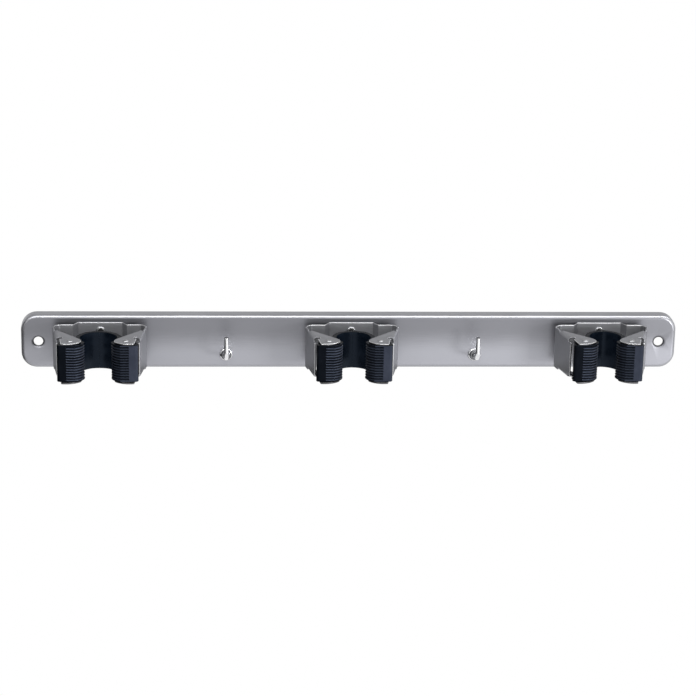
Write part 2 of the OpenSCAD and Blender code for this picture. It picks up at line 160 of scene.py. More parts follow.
def placed_copy(master: Piece, name: str, matrix: Matrix) -> Piece:
    """Copies a finished piece to another place, with the place in its mesh.

    Args:
        master: The piece to copy.
        name: The copy's name.
        matrix: The copy's place in the row frame.

    Returns:
        The copy, whose object sits at the origin.
    """
    piece = bpy.data.objects.new(name, master.data.copy())
    bpy.context.collection.objects.link(piece)
    piece.data.transform(matrix)
    if matrix.determinant() < 0:
        piece.data.flip_normals()
    return piece


def disc(name: str, sides: int, radius: float, fill: str = "NGON", place: Triple = (0.0, 0.0, 0.0),
         turn: Triple = (0.0, 0.0, 0.0)) -> Piece:
    """Starts a round piece from a circle.

    Args:
        name: The new object's name.
        sides: The number of the circle's sides.
        radius: The circle's radius.
        fill: How it is filled: NGON or NOTHING.
        place: The circle's centre.
        turn: The circle's turn about X, Y and Z.

    Returns:
        The new object at the origin, with its place in its mesh.
    """
    bpy.ops.object.select_all(action="DESELECT")
    bpy.ops.mesh.primitive_circle_add(vertices=sides, radius=radius, fill_type=fill, location=place,
                                      rotation=turn)
    piece = bpy.context.active_object
    piece.name = name
    take(piece)
    bpy.ops.object.transform_apply(location=True, rotation=True, scale=True)
    return piece


def extrude(way: Sequence[float]) -> None:
    """Extrudes what is selected along a vector."""
    bpy.ops.mesh.extrude_region_move(TRANSFORM_OT_translate={"value": tuple(way)})


def draw_ring(old: Pair, new: Pair, centre_y: float = 0.0) -> None:
    """Extrudes the selected end along Z and scales it to its new ring.

    Args:
        old: Radius and height of the end as it is.
        new: Radius and height of the next ring.
        centre_y: The place of the rings' axis along Y.
    """
    extrude((0, 0, new[1] - old[1]))
    factor = new[0] / old[0]
    bpy.ops.transform.resize(value=(factor, factor, 1), center_override=(0, centre_y, new[1]))


def face_outwards() -> None:
    """Turns all faces of the piece in edit mode outwards."""
    bpy.ops.mesh.select_all(action="SELECT")
    bpy.ops.mesh.normals_make_consistent(inside=False)


def turned(name: str, profile: Sequence[Pair], sides: int) -> Piece:
    """Turns a closed solid about Z, ring by ring, from a circle that is extruded and scaled.

    Args:
        name: The new object's name.
        profile: Radius and height of each ring, in metres, from one end to the other.
        sides: The number of sides of each ring.

    Returns:
        The new object, on the Z axis.
    """
    piece = disc(name, sides, profile[0][0])
    with editing(piece):
        bpy.ops.transform.translate(value=(0, 0, profile[0][1]))
        for old, new in zip(profile, profile[1:]):
            draw_ring(old, new)
        face_outwards()
    smooth(piece, TURNED_ANGLE)
    return piece


def merged_copy(node: str, whole_faces: bool = True) -> Piece:
    """Copies a CAD node with its loose triangles merged.

    Args:
        node: The CAD node to copy.
        whole_faces: Whether flat faces are made whole again.

    Returns:
        The new object.
    """
    piece = bpy.data.objects.new(f"{node}_dressed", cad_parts[node].data.copy())
    bpy.context.collection.objects.link(piece)
    with editing(piece):
        bpy.ops.mesh.customdata_custom_splitnormals_clear()
        bpy.ops.mesh.remove_doubles(threshold=CAD_MERGE)
        if whole_faces:
            bpy.ops.mesh.dissolve_limited(angle_limit=FLAT_ANGLE)
    return piece


def sharp_edges(mesh: bpy.types.Mesh) -> set[int]:
    """The edges where two faces meet at a clear angle.

    Args:
        mesh: The mesh to look through.

    Returns:
        The edges' indices.
    """
    faces: dict[tuple[int, int], list[Vector]] = {}
    for polygon in mesh.polygons:
        for key in polygon.edge_keys:
            faces.setdefault(key, []).append(polygon.normal)
    least = math.cos(SHARP_ANGLE)
    return {
        edge.index for edge in mesh.edges
        if len(faces[edge.key]) == 2 and faces[edge.key][0].dot(faces[edge.key][1]) < least
    }


def shade(piece: Piece) -> None:
    """Shades an object smooth, with its large faces flat.

    Args:
        piece: The object to shade.
    """
    smooth(piece, SMOOTH_ANGLE)
    weighting = piece.modifiers.new("flat faces", "WEIGHTED_NORMAL")
    weighting.keep_sharp = True
    weighting.weight = 100
    apply_modifiers(piece)


def round_edges(piece: Piece, width: float, segments: int, by_weight: bool = False) -> None:
    """Rounds an object's sharp edges and shades its flat faces flat.

    Args:
        piece: The object to finish.
        width: Width of the rounding.
        segments: Number of facets across the rounding.
        by_weight: Whether each edge's bevel weight scales its width.
    """
    rounding = piece.modifiers.new("rounding", "BEVEL")
    rounding.width = width
    rounding.segments = segments
    rounding.limit_method = "WEIGHT" if by_weight else "ANGLE"
    rounding.angle_limit = SHARP_ANGLE
    rounding.use_clamp_overlap = False
    rounding.miter_outer = "MITER_ARC"
    apply_modifiers(piece)
    shade(piece)


# Finishes


def put(tree: Tree, socket: Socket, value: Value) -> None:
    """Links a value to a node's input, or sets it there.

    Args:
        tree: The node tree.
        socket: The input.
        value: Another node's output, a number, a vector or a colour.
    """
    if isinstance(value, Socket):
        tree.links.new(value, socket)
    else:
        socket.default_value = (*value, 1) if socket.type == "RGBA" else value


def add_node(tree: Tree, kind: str, inputs: Mapping[str | int, Value], **options: str) -> bpy.types.Node:
    """Adds a node to a tree.

    Args:
        tree: The node tree.
        kind: The node's type.
        inputs: What goes to each input, by its name or number.
        **options: The node's own settings.

    Returns:
        The new node.
    """
    node = tree.nodes.new(kind)
    for name, option in options.items():
        setattr(node, name, option)
    for key, value in inputs.items():
        put(tree, node.inputs[key], value)
    return node


def scaled(colour: Triple, factor: float) -> Triple:
    """A colour made lighter or darker by a factor."""
    red, green, blue = colour
    return red * factor, green * factor, blue * factor


class NodeBoard:
    """A material's node tree, with short calls for the nodes that the finishes share."""

    def __init__(self, name: str) -> None:
        """Starts a material with an empty Principled surface.

        Args:
            name: The material's name.
        """
        self.material = bpy.data.materials.new(name)
        self.material.use_nodes = True
        self.tree = self.material.node_tree
        self.coords = self.tree.nodes.new("ShaderNodeTexCoord").outputs["Object"]

    def stretched(self, scale: Triple) -> Socket:
        """Object coordinates stretched along each axis."""
        inputs = {"Vector": self.coords, "Scale": scale}
        return add_node(self.tree, "ShaderNodeMapping", inputs).outputs["Vector"]

    def noise(self, vector: Socket, scale: float, detail: float) -> Socket:
        """A noise value from 0 to 1, of a frequency per metre and a number of finer layers."""
        inputs = {"Vector": vector, "Scale": scale, "Detail": detail}
        return add_node(self.tree, "ShaderNodeTexNoise", inputs).outputs["Fac"]

    def ranged(self, value: Socket, source: Pair, target: Pair) -> Socket:
        """Maps a value from one range to another, without passing its ends.

        Args:
            value: The value to map.
            source: The range that it comes from.
            target: The range that it goes to.

        Returns:
            The mapped value.
        """
        node = add_node(self.tree, "ShaderNodeMapRange", {
            "Value": value, "From Min": source[0], "From Max": source[1],
            "To Min": target[0], "To Max": target[1],
        }, interpolation_type="SMOOTHSTEP")
        return node.outputs["Result"]

    def tinted(self, factor: Socket, low: Triple | Socket, high: Triple) -> Socket:
        """A colour between two, by a value from 0 to 1."""
        inputs = {0: factor, 6: low, 7: high}
        return add_node(self.tree, "ShaderNodeMix", inputs, data_type="RGBA").outputs[2]

    def mean(self, first: Socket, second: Socket, share: float) -> Socket:
        """Two values mixed, with a share of the second."""
        inputs = {0: share, 2: first, 3: second}
        return add_node(self.tree, "ShaderNodeMix", inputs, data_type="FLOAT").outputs[0]

    def ring(self, centre_x: float, inner: float, outer: float) -> Socket:
        """A value that is 1 near two points on the X axis and fades to 0 round them.

        Args:
            centre_x: The distance of the two points from the middle.
            inner: The radius up to which the value is 1.
            outer: The radius from which the value is 0.

        Returns:
            The value.
        """
        fold = add_node(self.tree, "ShaderNodeVectorMath", {0: self.coords}, operation="ABSOLUTE")
        flat = add_node(self.tree, "ShaderNodeMapping", {
            "Vector": fold.outputs["Vector"], "Location": (-centre_x, 0, 0), "Scale": (1, 0, 1),
        })
        radius = add_node(self.tree, "ShaderNodeVectorMath", {0: flat.outputs["Vector"]}, operation="LENGTH")
        return self.ranged(radius.outputs["Value"], (inner, outer), (1.0, 0.0))

    def height(self) -> Socket:
        """The Z coordinate in the row frame."""
        return add_node(self.tree, "ShaderNodeSeparateXYZ", {"Vector": self.coords}).outputs["Z"]

    def embossed(self, height: Socket, strength: float, depth: float) -> Socket:
        """The normals of a surface that a value from 0 to 1 raises by a real depth."""
        inputs = {"Height": height, "Strength": strength, "Distance": depth}
        return add_node(self.tree, "ShaderNodeBump", inputs).outputs["Normal"]

    def dressed(self, inputs: Mapping[str, Value]) -> Material:
        """Finishes the surface.

        Args:
            inputs: What goes to each of the surface's inputs.

        Returns:
            The finished material.
        """
        surface = self.tree.nodes["Principled BSDF"]
        for name, value in inputs.items():
            put(self.tree, surface.inputs[name], value)
        return self.material


@dataclass(frozen=True)
class WorkedSteel:
    """Bare steel with fine lines from rolling, brushing or drawing and broad cloudy patches."""

    name: str
    colour: Triple
    roughness: float
    grain: Grain
    contrast: float = 0.12
    spread: float = 0.06
    relief: float = 0.12
    # painted light: the share by which the tone grows lighter towards the bottom
    fade: float = 0.0
    metallic: float = 1.0
    half_height: float = 21 * MM
    hole_x: float = 0.0
    # painted shade: a darker ring round two holes, of these radii and this tone
    hole_rim: Pair = (4.0 * MM, 4.7 * MM)
    hole_painted_shade: float = 0.25
    line_noise: Pair = (1.0, 4.0)
    line_depth: float = 0.02 * MM
    cloud_noise: Pair = (22.0, 3.0)
    cloud_share: float = 0.45
    tone_range: Pair = (0.25, 0.75)
    rough_range: Pair = (0.2, 0.8)

    @cached_property
    def material(self) -> Material:
        """The finish's material, made once."""
        board = NodeBoard(self.name)
        lines = board.noise(board.stretched(self.grain.value), *self.line_noise)
        tone = board.mean(lines, board.noise(board.coords, *self.cloud_noise), self.cloud_share)
        # painted light: the steel grows lighter towards the bottom
        if self.fade:
            painted_light_below = board.ranged(board.height(), (self.half_height, -self.half_height), UNIT)
            tone = board.mean(tone, painted_light_below, self.fade)
        colour = board.tinted(board.ranged(tone, self.tone_range, UNIT),
                              scaled(self.colour, 1 - self.contrast), scaled(self.colour, 1 + self.contrast))
        # painted shade in a ring round the holes
        if self.hole_x:
            rim = board.ring(self.hole_x, *self.hole_rim)
            colour = board.tinted(rim, colour, scaled(self.colour, self.hole_painted_shade))
        roughness = (self.roughness - self.spread, self.roughness + self.spread)
        return board.dressed({
            "Base Color": colour,
            "Roughness": board.ranged(tone, self.rough_range, roughness),
            "Metallic": self.metallic,
            "Normal": board.embossed(lines, self.relief, self.line_depth),
        })


@dataclass(frozen=True)
class Plating:
    """Bright plating with faint haze and fine wipe marks."""

    name: str
    colour: Triple
    roughness: float
    haze: float = 0.07
    tones: Pair = (0.86, 1.08)
    mark_noise: Pair = (420.0, 5.0)
    mark_relief: float = 0.05
    mark_depth: float = 0.01 * MM
    cloud_noise: Pair = (90.0, 2.0)
    cloud_share: float = 0.6
    rough_range: Pair = (0.3, 0.75)

    @cached_property
    def material(self) -> Material:
        """The finish's material, made once."""
        board = NodeBoard(self.name)
        marks = board.noise(board.coords, *self.mark_noise)
        tone = board.mean(marks, board.noise(board.coords, *self.cloud_noise), self.cloud_share)
        roughness = (self.roughness, self.roughness + self.haze)
        return board.dressed({
            "Base Color": board.tinted(tone, *(scaled(self.colour, factor) for factor in self.tones)),
            "Roughness": board.ranged(tone, self.rough_range, roughness),
            "Metallic": 1.0,
            "Normal": board.embossed(marks, self.mark_relief, self.mark_depth),
        })


@dataclass(frozen=True)
class MouldedRubber:
    """Dark moulded rubber with a fine grain, faint bloom and slight rubbing."""

    name: str
    colour: Triple
    bloom: Triple
    roughness: float
    gloss: float
    sheen: Triple = (0.62, 0.76, 1.0)
    spread: float = 0.1
    grain_noise: Pair = (2600.0, 3.0)
    grain_relief: float = 0.18
    grain_depth: float = 0.05 * MM
    rub_noise: Pair = (140.0, 4.0)
    rub_share: float = 0.65
    tone_range: Pair = (0.35, 0.8)
    rough_range: Pair = (0.25, 0.75)

    @cached_property
    def material(self) -> Material:
        """The finish's material, made once."""
        board = NodeBoard(self.name)
        grain = board.noise(board.coords, *self.grain_noise)
        tone = board.mean(grain, board.noise(board.coords, *self.rub_noise), self.rub_share)
        roughness = (self.roughness - self.spread, self.roughness + self.spread)
        return board.dressed({
            "Base Color": board.tinted(board.ranged(tone, self.tone_range, UNIT), self.colour, self.bloom),
            "Roughness": board.ranged(tone, self.rough_range, roughness),
            "Specular IOR Level": self.gloss,
            "Specular Tint": self.sheen,
            "Normal": board.embossed(grain, self.grain_relief, self.grain_depth),
        })


class Look(Enum):
    """Every finish on the rack."""

    # painted light: the plate grows lighter towards the bottom
    PLATE = WorkedSteel("satin plate", (0.305, 0.308, 0.336), 0.43, Grain.ALONG_RACK, contrast=0.24, fade=0.7,
                        # painted shade: a dark ring round the plate's end holes
                        metallic=0.9, hole_x=HOLE_X)
    # painted light: the rim in a lighter copy of the plate's steel
    RIM = WorkedSteel("rim painted lighter", (0.4, 0.404, 0.43), 0.38, Grain.ALONG_RACK, metallic=0.9)
    STRIP = WorkedSteel("bright strip", (0.245, 0.248, 0.266), 0.4, Grain.ALONG_STRIP, metallic=0.75)
    # painted light: a lighter copy of the strip's steel on the panels' fronts
    PANEL = WorkedSteel("panel front painted lighter", (0.38, 0.384, 0.408), 0.4, Grain.ALONG_STRIP, metallic=0.75)
    # partly dull cut steel, partly painted shade: the ears' cut edges by the pins and the lower ears' upper
    # faces
    CUT = WorkedSteel("cut strip edge and painted shade", (0.1, 0.1, 0.106), 0.36, Grain.DRAWN)
    # painted highlight: a near-white copy of the steel on the strip's top edges and arms' front edges
    EDGE = WorkedSteel("strip edge painted highlight", (0.82, 0.825, 0.84), 0.3, Grain.DRAWN)
    RIVET = WorkedSteel("rivet body", (0.45, 0.455, 0.465), 0.26, Grain.DRAWN)
    # painted shade: the steel mandrel stub near-black, as the shade in the rivet's core
    STUB = WorkedSteel("rivet stub painted shade", (0.05, 0.05, 0.053), 0.5, Grain.DRAWN, contrast=0.3)
    SPRING = WorkedSteel("spring wire", (0.36, 0.365, 0.375), 0.3, Grain.DRAWN)
    NUT = WorkedSteel("nut zinc", (0.5, 0.5, 0.5), 0.36, Grain.DRAWN)
    CLAW = MouldedRubber("black claw", (0.0016, 0.0021, 0.0034), (0.0032, 0.0041, 0.0064), 0.3, 0.06)
    # painted shade in the rib grooves
    SHADED_GROOVE = MouldedRubber("groove painted shade", (0.001, 0.0015, 0.003), (0.002, 0.003, 0.0055), 0.6, 0.1)
    # painted light: the seat lighter and glossier than the rest of the claw
    LIT_SEAT = MouldedRubber("seat painted lighter", (0.0025, 0.0044, 0.0082), (0.0066, 0.0102, 0.0172), 0.3, 0.2)
    # painted highlight on the ribs' upper slopes: bright on the left claws, dim on the right ones
    RIB_HIGHLIGHT = MouldedRubber("rib crest painted highlight", (0.02, 0.0237, 0.0365), (0.032, 0.0368, 0.0545), 0.36, 0.4)
    DIM_RIB_HIGHLIGHT = MouldedRubber("rib crest painted dim highlight", (0.009, 0.011, 0.017), (0.015, 0.018, 0.026), 0.4, 0.2)
    # painted light: the right claws' plain band lighter than the left ones'
    LIT_BAND = MouldedRubber("band painted lighter", (0.024, 0.028, 0.041), (0.036, 0.041, 0.059), 0.4, 0.1)
    PIN = Plating("pin plating", (0.4, 0.405, 0.42), 0.3)
    WIRE = Plating("hook plating", (0.82, 0.825, 0.835), 0.13)
    # a darker finish on the upward faces of the hook's round tip
    DARK_TIP_TOP = Plating("darker wire tip top", (0.16, 0.162, 0.17), 0.4)
    # painted reflection: the collar's face a dark copy of the hook's plating
    COLLAR = Plating("collar plating painted dark", (0.2, 0.203, 0.212), 0.18)

    @property
    def material(self) -> Material:
        """The finish's material."""
        return self.value.material


# painted light by side, as from light on the right: brighter rib highlights on the left claws, a lighter plain
# band on the right ones
RIBS = {Side.LEFT: Look.RIB_HIGHLIGHT, Side.RIGHT: Look.DIM_RIB_HIGHLIGHT}
BANDS = {Side.LEFT: Look.CLAW, Side.RIGHT: Look.LIT_BAND}


def show(piece: Piece, looks: Sequence[Look], nodes: Sequence[str] = (),
         body: str = ROOT_BODY) -> None:
    """Gives a finished piece its finishes, its body and the CAD nodes that it stands for.

    Args:
        piece: The finished piece.
        looks: Its finishes, of which the first covers it.
        nodes: The CAD nodes that it replaces.
        body: The CAD body that it moves with.
    """
    piece.data.materials.clear()
    for look in looks:
        piece.data.materials.append(look.material)
    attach(piece, body)
    if nodes:
        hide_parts(*nodes)
    LOG.info("%s: %d faces on %s", piece.name, len(piece.data.polygons), body)


def paint(piece: Piece, polygon: bpy.types.MeshPolygon, look: Look) -> None:
    """Gives one face of a piece another of the piece's finishes."""
    polygon.material_index = piece.data.materials.find(look.material.name)


# Sub-assemblies


@dataclass
class Wall:
    """The back plate, where every other piece is placed from."""

    node: str = "back_plate"
    hole_reach: float = 8 * MM
    rim_slope: float = 0.35

    def build(self) -> None:
        """Dresses the back plate and gives its rim its own finish, a lighter copy of the plate's steel as
        painted light.
        """
        piece = merged_copy(self.node, whole_faces=False)
        shade(piece)
        show(piece, [Look.PLATE, Look.RIM], [self.node])
        for polygon in piece.data.polygons:
            place, way = polygon.center, polygon.normal
            at_hole = Vector((abs(place.x) - HOLE_X, place.z)).length < self.hole_reach
            outward = place.x * way.x + place.z * way.z > 0
            # painted light on the rim's outward faces
            if outward and not at_hole and Vector((way.x, way.z)).length > self.rim_slope:
                paint(piece, polygon, Look.RIM)


@dataclass
class PinShape:
    """A hinge pin with a domed head at each end."""

    radius: float = 2.0 * MM
    half_length: float = 15.75 * MM
    head_radius: float = 2.7 * MM
    head_height: float = 1.1 * MM
    dome_angles: Sequence[float] = (0, 15, 30, 45, 60, 72, 82, 88)
    sides: int = 40

    def dome(self, up: int) -> list[Pair]:
        """Radius and height of a head's rings from its rim to its crown.

        Args:
            up: 1 for the top head and -1 for the bottom one.

        Returns:
            The rings, rim first.
        """
        return [
            (self.head_radius * math.cos(angle), up * (self.half_length + self.head_height * math.sin(angle)))
            for angle in map(math.radians, self.dome_angles)
        ]

    @cached_property
    def master(self) -> Piece:
        """The pin on the Z axis, made once to be copied."""
        shank = [(self.radius, -self.half_length), (self.radius, self.half_length)]
        return turned("pin_master", [*reversed(self.dome(-1)), *shank, *self.dome(1)], self.sides)


@dataclass
class RivetShape:
    """A blind rivet: a rolled flange with a hollow core, a shank and the bulb behind the plate."""

    height: float = 9.0 * MM
    radius: float = 2.5 * MM
    flange_radius: float = 3.6 * MM
    flange_height: float = 1.3 * MM
    flange_edge: Pair = (0.08 * MM, 0.15 * MM)
    flange_angles: Sequence[float] = (8, 30, 52, 72, 90, 108, 128, 148)
    flange_wall: float = 0.3
    core_radius: float = 1.9 * MM
    core_point: float = 0.3 * MM
    core_mouth: float = 0.55
    strip: float = 1.2 * MM
    plate: float = 1.2 * MM
    bulb_radius: float = 3.4 * MM
    bulb_height: float = 3.2 * MM
    bulb_edge: float = 0.2 * MM
    bulb_taper: Pair = (0.72, 0.45)
    stub_radius: float = 1.15 * MM
    stub_fit: Pair = (0.05 * MM, 0.1 * MM)
    stub_foot: float = 0.02 * MM
    stub_steps: Pair = (0.5, 0.7)
    stub_top: float = 0.25
    stub_drop: Pair = (0.25 * MM, 0.18 * MM)
    stub_break: Pair = (0.8, 0.35)
    sides: int = 40

    def flange(self) -> list[Pair]:
        """Radius and height of the rings over the flange, from its seat to the mouth of its core.

        Returns:
            The rings, outermost first.
        """
        seat = self.strip
        crown = (self.core_radius + self.flange_radius) / 2
        inset, lift = self.flange_edge
        rings = [(self.flange_radius - inset, seat), (self.flange_radius, seat + lift)]
        for turn in map(math.radians, self.flange_angles):
            rise = self.flange_wall + (1 - self.flange_wall) * math.sin(turn)
            reach = crown + (self.flange_radius - crown) * math.cos(turn)
            rings.append((reach, seat + self.flange_height * rise))
        return rings

    @cached_property
    def body(self) -> Piece:
        """One rivet on the Z axis, from the plate's front face, made once to be copied."""
        back, wide, edge = -self.plate, self.bulb_radius, self.bulb_edge
        end = back - self.bulb_height
        far, near = (back - self.bulb_height * share for share in self.bulb_taper)
        rear = [
            (self.core_point, end), (self.core_radius, end), (wide - 2 * edge, far), (wide, near),
            (wide, back - edge), (wide - edge, back), (self.radius, back), (self.radius, self.strip),
        ]
        mouth = self.strip + self.flange_height * self.core_mouth
        core = [(self.core_radius, mouth), (self.core_radius, 0.0), (self.core_point, 0.0)]
        return turned("rivet_master", [*rear, *self.flange(), *core], self.sides)

    @cached_property
    def stub(self) -> Piece:
        """The broken end of the pulling mandrel in the rivet's core, made once to be copied."""
        low, high = (self.strip * share for share in self.stub_steps)
        top = self.strip + self.flange_height * self.stub_top
        wide, narrow = (self.core_radius - gap for gap in self.stub_fit)
        rim, pit = (self.stub_radius * share for share in self.stub_break)
        return turned("rivet_stub_master", [
            (wide, self.stub_foot), (narrow, low), (self.stub_radius, high),
            (self.stub_radius, top - self.stub_drop[0]), (rim, top), (pit, top - self.stub_drop[1]),
        ], self.sides)

    def two(self, master: Piece, name: str, x: float, y: float) -> Piece:
        """Copies of a shape at a clip's upper and lower rivet.

        Args:
            master: The shape to copy.
            name: The name of the pair.
            x: The clip's middle.
            y: The plate's front face.

        Returns:
            The two copies as one object.
        """
        ahead = Matrix.Rotation(math.pi / 2, 4, "X")
        upper, lower = (
            placed_copy(master, f"{name}_{up}", Matrix.Translation((x, y, up * self.height)) @ ahead)
            for up in (1, -1)
        )
        take(upper)
        lower.select_set(True)
        bpy.ops.object.join()
        upper.name = name
        return upper


@dataclass
class SpringShape:
    """A torsion spring round a hinge pin, with a leg on the arm and a leg in the claw."""

    wire: float = 0.45 * MM
    radius: float = 3.3 * MM
    turns: float = 4.25
    pitch: float = 1.5 * MM
    leg_angle: float = 44.0
    arm_gap: float = 0.3 * MM
    pin_in: float = 8.4 * MM
    drive_length: float = 5.0 * MM
    steps: int = 26
    sides: int = 10

    def half_rise(self) -> Vector:
        """Half of the spring's height, upwards."""
        return Vector((0, 0, self.turns * self.pitch / 2))

    def leg_length(self) -> float:
        """The length of the leg that rests on the arm."""
        angle = math.radians(self.leg_angle)
        return (self.pin_in - self.arm_gap - (self.wire + self.radius) * math.sin(angle)) / math.cos(angle)

    def pull_leg(self, z: float, way: Vector, length: float) -> None:
        """Draws a straight leg out of the open end of the wire at a height.

        Args:
            z: The height of the wire's end.
            way: The direction of the leg.
            length: The length of the leg.
        """
        piece = bpy.context.edit_object
        bpy.ops.mesh.select_all(action="DESELECT")
        bpy.ops.mesh.select_non_manifold(extend=False, use_wire=False, use_boundary=True, use_multi_face=False,
                                         use_non_contiguous=False, use_verts=False)
        bpy.ops.object.mode_set(mode="OBJECT")
        for vertex in piece.data.vertices:
            vertex.select = vertex.select and abs(vertex.co.z - z) < 2 * self.wire
        for edge in piece.data.edges:
            edge.select = all(piece.data.vertices[i].select for i in edge.vertices)
        bpy.ops.object.mode_set(mode="EDIT")
        bpy.ops.mesh.edge_face_add()
        extrude(way * length)

    @cached_property
    def master(self) -> Piece:
        """The spring round the Z axis, made once to be copied: a wire ring that is wound, then its legs."""
        start = math.radians(90 - self.leg_angle)
        rise = self.turns * self.pitch
        coil = disc("spring_master", self.sides, self.wire, "NOTHING", (self.radius, 0, -rise / 2), UPRIGHT)
        winding = coil.modifiers.new("winding", "SCREW")
        winding.axis = "Z"
        winding.angle = math.tau * self.turns
        winding.screw_offset = rise
        winding.steps = winding.render_steps = round(self.steps * self.turns)
        winding.use_smooth_shade = True
        apply_modifiers(coil)
        coil.data.transform(Matrix.Rotation(start, 4, "Z"))
        end = start + math.tau * self.turns
        with editing(coil):
            self.pull_leg(-rise / 2, Vector((math.sin(start), -math.cos(start), 0)), self.leg_length())
            self.pull_leg(rise / 2, Vector((-math.sin(end), math.cos(end), 0)), self.drive_length)
            face_outwards()
        smooth(coil, WOUND_ANGLE)
        return coil


@dataclass
class Clip:
    """One handle clip: its bracket, rivets, pins, claws and springs."""

    word: str
    middle: float
    lean_set: float
    pin: PinShape
    rivet: RivetShape
    spring: SpringShape
    plate_depth: float = 10 * MM
    bend: Pair = (29.0 * MM, 11.8 * MM)
    lean: float = 11.0
    pin_across: float = -3.4 * MM
    pin_along: float = 34.0 * MM
    strip_half: float = 15.75 * MM
    strip_thick: float = 1.2 * MM
    strip_edge: float = 0.4 * MM
    facets: int = 3
    ear_reach: float = 10.5 * MM
    ear_slack: float = 0.05 * MM
    cut_slope: float = 0.92
    highlight_slopes: Pair = (0.3, 0.97)
    back_slope: float = 0.1
    front_slope: float = 0.7
    arm_start: float = -24.0 * MM
    arm_end: float = -49.0 * MM
    rib_edge: float = 0.5 * MM
    plain_share: float = 0.4
    ribbed_half: float = 14.1 * MM
    nose_radius: float = 9.1 * MM
    nose_in: float = 1.6 * MM
    nose_back: float = 2.2 * MM
    rib_depth: float = 0.7 * MM
    rib_reach: float = 2.2 * MM
    pocket_half: float = 4.3 * MM
    tail_gap: float = 0.4 * MM
    shown_gap: float = 0.1 * MM
    crest_slope: float = 0.15
    band_slope: float = 0.5
    lit_seat_radius: float = 13.0 * MM
    lit_seat_back: float = 12.5 * MM
    slack: float = 0.1 * MM
    level_slack: float = 0.01 * MM

    def jaw(self, side: Side) -> Matrix:
        """The place of one arm and all that it carries.

        Args:
            side: The arm's side of the clip.

        Returns:
            The matrix from the clip's plan, where +Y points to the room, to the row frame.
        """
        bend = Vector((*self.bend, 0))
        return (
            Matrix.Translation((self.middle, -self.plate_depth, 0))
            @ Matrix.Diagonal((side.value, -1, 1, 1))
            @ Matrix.Translation(bend)
            @ Matrix.Rotation(math.radians(self.lean_set), 4, "Z")
            @ Matrix.Translation(-bend)
        )

    def pin_place(self, side: Side) -> Matrix:
        """The place of one side's pin, turned as its arm leans."""
        arm = Matrix.Translation((*self.bend, 0)) @ Matrix.Rotation(math.radians(self.lean), 4, "Z")
        return self.jaw(side) @ arm @ Matrix.Translation((self.pin_across, self.pin_along, 0))

    def plan(self, side: Side) -> tuple[Matrix, Vector, Vector]:
        """One claw in the clip's plan.

        Args:
            side: The claw's side of the clip.

        Returns:
            The matrix from the row frame to the plan, and there the pin's place and the nose's centre.
        """
        to_plan = self.jaw(side).inverted()
        pin = to_plan @ self.pin_place(side).translation
        return to_plan, pin, Vector((pin.x - self.nose_in, pin.y - self.nose_back))

    def build(self) -> None:
        """Builds and dresses everything on the clip."""
        base = f"{self.word}_clip"
        strip = merged_copy(f"{base}_bracket", whole_faces=False)
        round_edges(strip, self.strip_edge, self.facets)
        show(strip, [Look.STRIP, Look.CUT, Look.EDGE, Look.PANEL], [f"{base}_bracket"])
        self.finish_edges(strip)
        seat = (self.middle, -self.plate_depth)
        rivets = self.rivet.two(self.rivet.body, f"{base}_rivets_dressed", *seat)
        show(rivets, [Look.RIVET], [f"{base}_rivets"])
        show(self.rivet.two(self.rivet.stub, f"{base}_rivet_stubs", *seat), [Look.STUB])
        for side in Side:
            self.build_jaw(side)

    def finish_edges(self, strip: Piece) -> None:
        """Paints highlights on the strip's rounded top edges and arms' front edges, light on its panels'
        fronts, shade on the lower ears' upper faces, and a dark finish on the ears' cut edges by the pins,
        partly dull cut steel, partly shade.

        Args:
            strip: The dressed bracket.
        """
        pins = [self.pin_place(side).translation for side in Side]
        low, high = self.highlight_slopes
        for polygon in strip.data.polygons:
            place, way = polygon.center, polygon.normal
            on_ear = abs(place.z) > self.strip_half - self.strip_thick - self.ear_slack
            near_pin = min((place.xy - pin.xy).length for pin in pins) < self.ear_reach
            top_edge = (place.z > self.strip_half - self.strip_edge and low < way.z < high
                        and way.y < self.back_slope and (place.y > self.arm_start or near_pin))
            arm_edge = not on_ear and way.y < -self.front_slope and place.y < self.arm_end
            # painted highlight on the top edges and the arms' front edges
            if top_edge or arm_edge:
                paint(strip, polygon, Look.EDGE)
            # painted shade with dull cut steel on the ears' cut edges by the pins, and painted shade on the
            # lower ears' upper faces
            elif on_ear and near_pin and (abs(way.z) < self.cut_slope or place.z < 0 < way.z):
                paint(strip, polygon, Look.CUT)
            # painted light on the panels' fronts
            elif way.y < -self.cut_slope and place.y > self.arm_start:
                paint(strip, polygon, Look.PANEL)

    def claw_piece(self, node: str, side: Side) -> Piece:
        """A claw with half-round ribs and softly rounded edges, but for those in its pocket.

        Args:
            node: The claw's CAD node.
            side: The claw's side of the clip.

        Returns:
            The new object.
        """
        piece = merged_copy(node)
        mesh = piece.data
        at_gap = self.close_tail(mesh, side)
        to_plan, _, nose = self.plan(side)
        points = [to_plan @ vertex.co for vertex in mesh.vertices]
        skin = self.nose_radius - 2 * self.slack
        on_skin = [
            abs(p.z) < self.ribbed_half and ((p.xy - nose).length > skin or p.y > nose.y + skin)
            and p.y > nose.y - self.nose_in for p in points
        ]
        weights = mesh.attributes.new("bevel_weight_edge", "FLOAT", "EDGE")
        corners = sharp_edges(mesh)
        for edge in mesh.edges:
            first, second = edge.vertices
            level = abs(points[first].z - points[second].z) < self.level_slack
            ribbed = on_skin[first] and on_skin[second]
            in_pocket = not ribbed and max(abs(points[first].z), abs(points[second].z)) < self.pocket_half
            if edge.index in corners and not in_pocket and not {first, second} <= at_gap:
                weights.data[edge.index].value = 1.0 if level and ribbed else self.plain_share
        round_edges(piece, self.rib_edge, self.facets, by_weight=True)
        return piece

